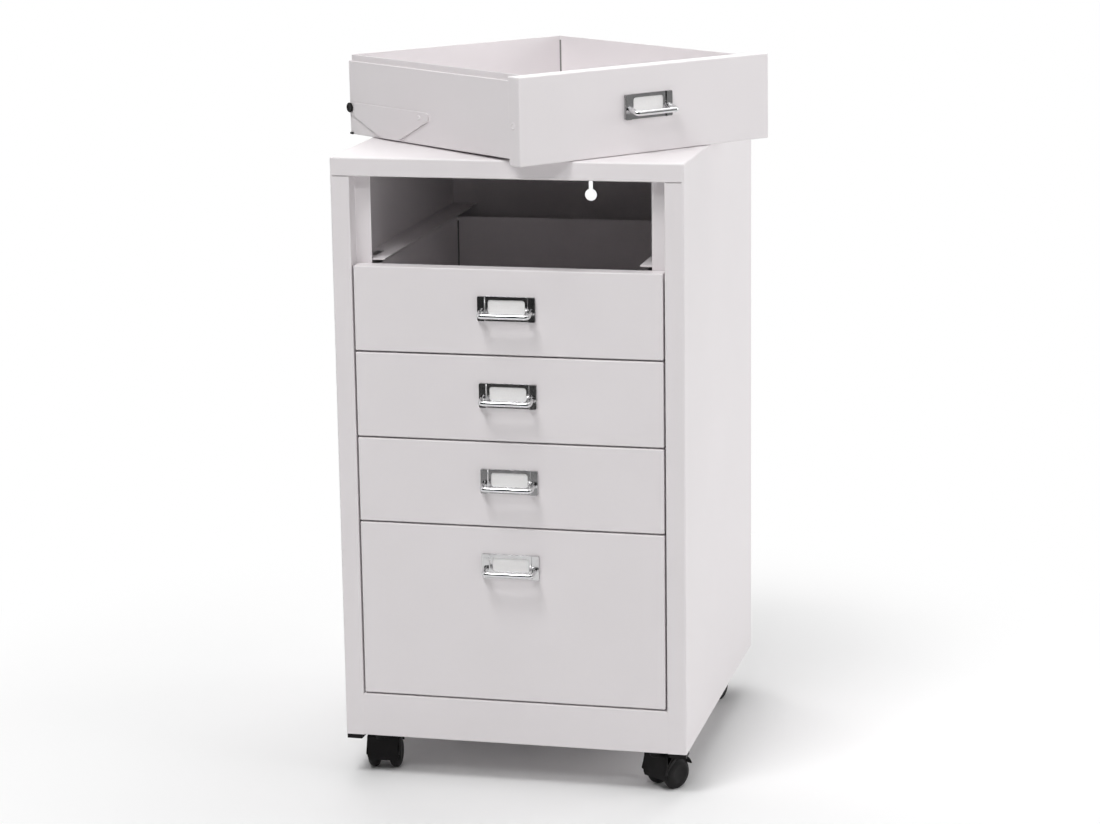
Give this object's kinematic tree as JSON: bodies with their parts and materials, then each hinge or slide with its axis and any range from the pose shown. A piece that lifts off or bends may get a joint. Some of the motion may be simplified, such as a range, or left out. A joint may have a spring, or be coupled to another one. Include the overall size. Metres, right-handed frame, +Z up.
{
  "type": "mobile pedestal",
  "caption": "White steel office pedestal on twin-wheel castors, with label-plate rod pulls on its drawers; the top drawer is lifted out and lies turned on the case.",
  "frame": {"origin": "on the floor, under the middle of the whole outline", "axes": "+Z up, -Y out of the drawer fronts, +X to the right as seen from the front"},
  "size_m": [0.4934, 0.4904, 0.8179],
  "materials": {
    "white_paint": "satin white powder coat",
    "chrome": "bright plating",
    "steel": "zinc plated",
    "black_plastic": "moulded, satin",
    "black_rubber": "smooth tread",
    "white_card": "plain card, with nothing printed"
  },
  "bodies": {
    "case": {"case_wrapper": "white_paint", "back_panel": "white_paint", "base_pan": "white_paint", "plinth_rail": "white_paint", "left_liner": "white_paint", "right_liner": "white_paint", "left_post_pad": "black_plastic", "right_post_pad": "black_plastic", "castor_front_left_plate": "steel", "castor_front_right_plate": "steel", "castor_rear_left_plate": "steel", "castor_rear_right_plate": "steel"},
    "drawer_1": {"drawer_1_front": "white_paint", "drawer_1_box": "white_paint", "drawer_1_pull_plate": "chrome", "drawer_1_pull_bar": "chrome", "drawer_1_label_card": "white_card", "drawer_1_left_glide": "black_plastic", "drawer_1_right_glide": "black_plastic"},
    "drawer_2": {"drawer_2_front": "white_paint", "drawer_2_box": "white_paint", "drawer_2_pull_plate": "chrome", "drawer_2_pull_bar": "chrome", "drawer_2_label_card": "white_card"},
    "drawer_3": {"drawer_3_front": "white_paint", "drawer_3_box": "white_paint", "drawer_3_pull_plate": "chrome", "drawer_3_pull_bar": "chrome", "drawer_3_label_card": "white_card"},
    "drawer_4": {"drawer_4_front": "white_paint", "drawer_4_box": "white_paint", "drawer_4_pull_plate": "chrome", "drawer_4_pull_bar": "chrome", "drawer_4_label_card": "white_card"},
    "drawer_5": {"drawer_5_front": "white_paint", "drawer_5_box": "white_paint", "drawer_5_pull_plate": "chrome", "drawer_5_pull_bar": "chrome", "drawer_5_label_card": "white_card"},
    "left_stop_lever": {"drawer_1_left_stop_lever": "white_paint"},
    "left_stop_roller": {"drawer_1_left_stop_roller": "black_plastic"},
    "right_stop_lever": {"drawer_1_right_stop_lever": "white_paint"},
    "right_stop_roller": {"drawer_1_right_stop_roller": "black_plastic"},
    "castor_front_left": {"castor_front_left_hood": "black_plastic", "castor_front_left_axle": "steel"},
    "castor_front_left_left_wheel": {"castor_front_left_wheel_left": "black_rubber"},
    "castor_front_left_right_wheel": {"castor_front_left_wheel_right": "black_rubber"},
    "castor_front_right": {"castor_front_right_hood": "black_plastic", "castor_front_right_axle": "steel"},
    "castor_front_right_left_wheel": {"castor_front_right_wheel_left": "black_rubber"},
    "castor_front_right_right_wheel": {"castor_front_right_wheel_right": "black_rubber"},
    "castor_rear_left": {"castor_rear_left_hood": "black_plastic", "castor_rear_left_axle": "steel"},
    "castor_rear_left_left_wheel": {"castor_rear_left_wheel_left": "black_rubber"},
    "castor_rear_left_right_wheel": {"castor_rear_left_wheel_right": "black_rubber"},
    "castor_rear_right": {"castor_rear_right_hood": "black_plastic", "castor_rear_right_axle": "steel"},
    "castor_rear_right_left_wheel": {"castor_rear_right_wheel_left": "black_rubber"},
    "castor_rear_right_right_wheel": {"castor_rear_right_wheel_right": "black_rubber"}
  },
  "joints": [
    {"name": "drawer_2_slide", "type": "slide", "parent": "case", "child": "drawer_2", "axis": [0, -1, 0], "range_m": [0, 0.29]},
    {"name": "drawer_3_slide", "type": "slide", "parent": "case", "child": "drawer_3", "axis": [0, -1, 0], "range_m": [0, 0.29]},
    {"name": "drawer_4_slide", "type": "slide", "parent": "case", "child": "drawer_4", "axis": [0, -1, 0], "range_m": [0, 0.29]},
    {"name": "drawer_5_slide", "type": "slide", "parent": "case", "child": "drawer_5", "axis": [0, -1, 0], "range_m": [0, 0.29]},
    {"name": "drawer_1_lift", "type": "slide", "parent": "case", "child": "drawer_1", "axis": [0, 0, 1], "range_m": [0, 0.15]},
    {"name": "left_stop_pivot", "type": "hinge", "parent": "drawer_1", "child": "left_stop_lever", "pos_m": [-0.13221, -0.09296, 0.75357], "axis": [0.6388, 0.7694, 0], "range_deg": [0, 8]},
    {"name": "left_roller_spin", "type": "hinge", "parent": "left_stop_lever", "child": "left_stop_roller", "pos_m": [-0.23955, -0.00385, 0.75284], "axis": [0.6388, 0.7694, 0], "continuous": true},
    {"name": "right_stop_pivot", "type": "hinge", "parent": "drawer_1", "child": "right_stop_lever", "pos_m": [0.06874, 0.1491, 0.75357], "axis": [0.6388, 0.7694, 0], "range_deg": [0, 8]},
    {"name": "right_roller_spin", "type": "hinge", "parent": "right_stop_lever", "child": "right_stop_roller", "pos_m": [-0.03859, 0.2382, 0.75284], "axis": [0.6388, 0.7694, 0], "continuous": true},
    {"name": "castor_front_left_swivel", "type": "hinge", "parent": "case", "child": "castor_front_left", "pos_m": [-0.173, -0.1665, 0.047], "axis": [0, 0, 1], "continuous": true},
    {"name": "castor_front_left_left_wheel_spin", "type": "hinge", "parent": "castor_front_left", "child": "castor_front_left_left_wheel", "pos_m": [-0.17483, -0.15161, 0.0185], "axis": [0.9925, 0.1219, 0], "continuous": true},
    {"name": "castor_front_left_right_wheel_spin", "type": "hinge", "parent": "castor_front_left", "child": "castor_front_left_right_wheel", "pos_m": [-0.17483, -0.15161, 0.0185], "axis": [0.9925, 0.1219, 0], "continuous": true},
    {"name": "castor_front_right_swivel", "type": "hinge", "parent": "case", "child": "castor_front_right", "pos_m": [0.153, -0.1665, 0.047], "axis": [0, 0, 1], "continuous": true},
    {"name": "castor_front_right_left_wheel_spin", "type": "hinge", "parent": "castor_front_right", "child": "castor_front_right_left_wheel", "pos_m": [0.16128, -0.15399, 0.0185], "axis": [0.8339, -0.5519, 0], "continuous": true},
    {"name": "castor_front_right_right_wheel_spin", "type": "hinge", "parent": "castor_front_right", "child": "castor_front_right_right_wheel", "pos_m": [0.16128, -0.15399, 0.0185], "axis": [0.8339, -0.5519, 0], "continuous": true},
    {"name": "castor_rear_left_swivel", "type": "hinge", "parent": "case", "child": "castor_rear_left", "pos_m": [-0.173, 0.185, 0.047], "axis": [0, 0, 1], "continuous": true},
    {"name": "castor_rear_left_left_wheel_spin", "type": "hinge", "parent": "castor_rear_left", "child": "castor_rear_left_left_wheel", "pos_m": [-0.1669, 0.1713, 0.0185], "axis": [-0.9135, -0.4067, 0], "continuous": true},
    {"name": "castor_rear_left_right_wheel_spin", "type": "hinge", "parent": "castor_rear_left", "child": "castor_rear_left_right_wheel", "pos_m": [-0.1669, 0.1713, 0.0185], "axis": [-0.9135, -0.4067, 0], "continuous": true},
    {"name": "castor_rear_right_swivel", "type": "hinge", "parent": "case", "child": "castor_rear_right", "pos_m": [0.153, 0.185, 0.047], "axis": [0, 0, 1], "continuous": true},
    {"name": "castor_rear_right_left_wheel_spin", "type": "hinge", "parent": "castor_rear_right", "child": "castor_rear_right_left_wheel", "pos_m": [0.14988, 0.17033, 0.0185], "axis": [-0.9781, 0.2079, 0], "continuous": true},
    {"name": "castor_rear_right_right_wheel_spin", "type": "hinge", "parent": "castor_rear_right", "child": "castor_rear_right_right_wheel", "pos_m": [0.14988, 0.17033, 0.0185], "axis": [-0.9781, 0.2079, 0], "continuous": true}
  ]
}
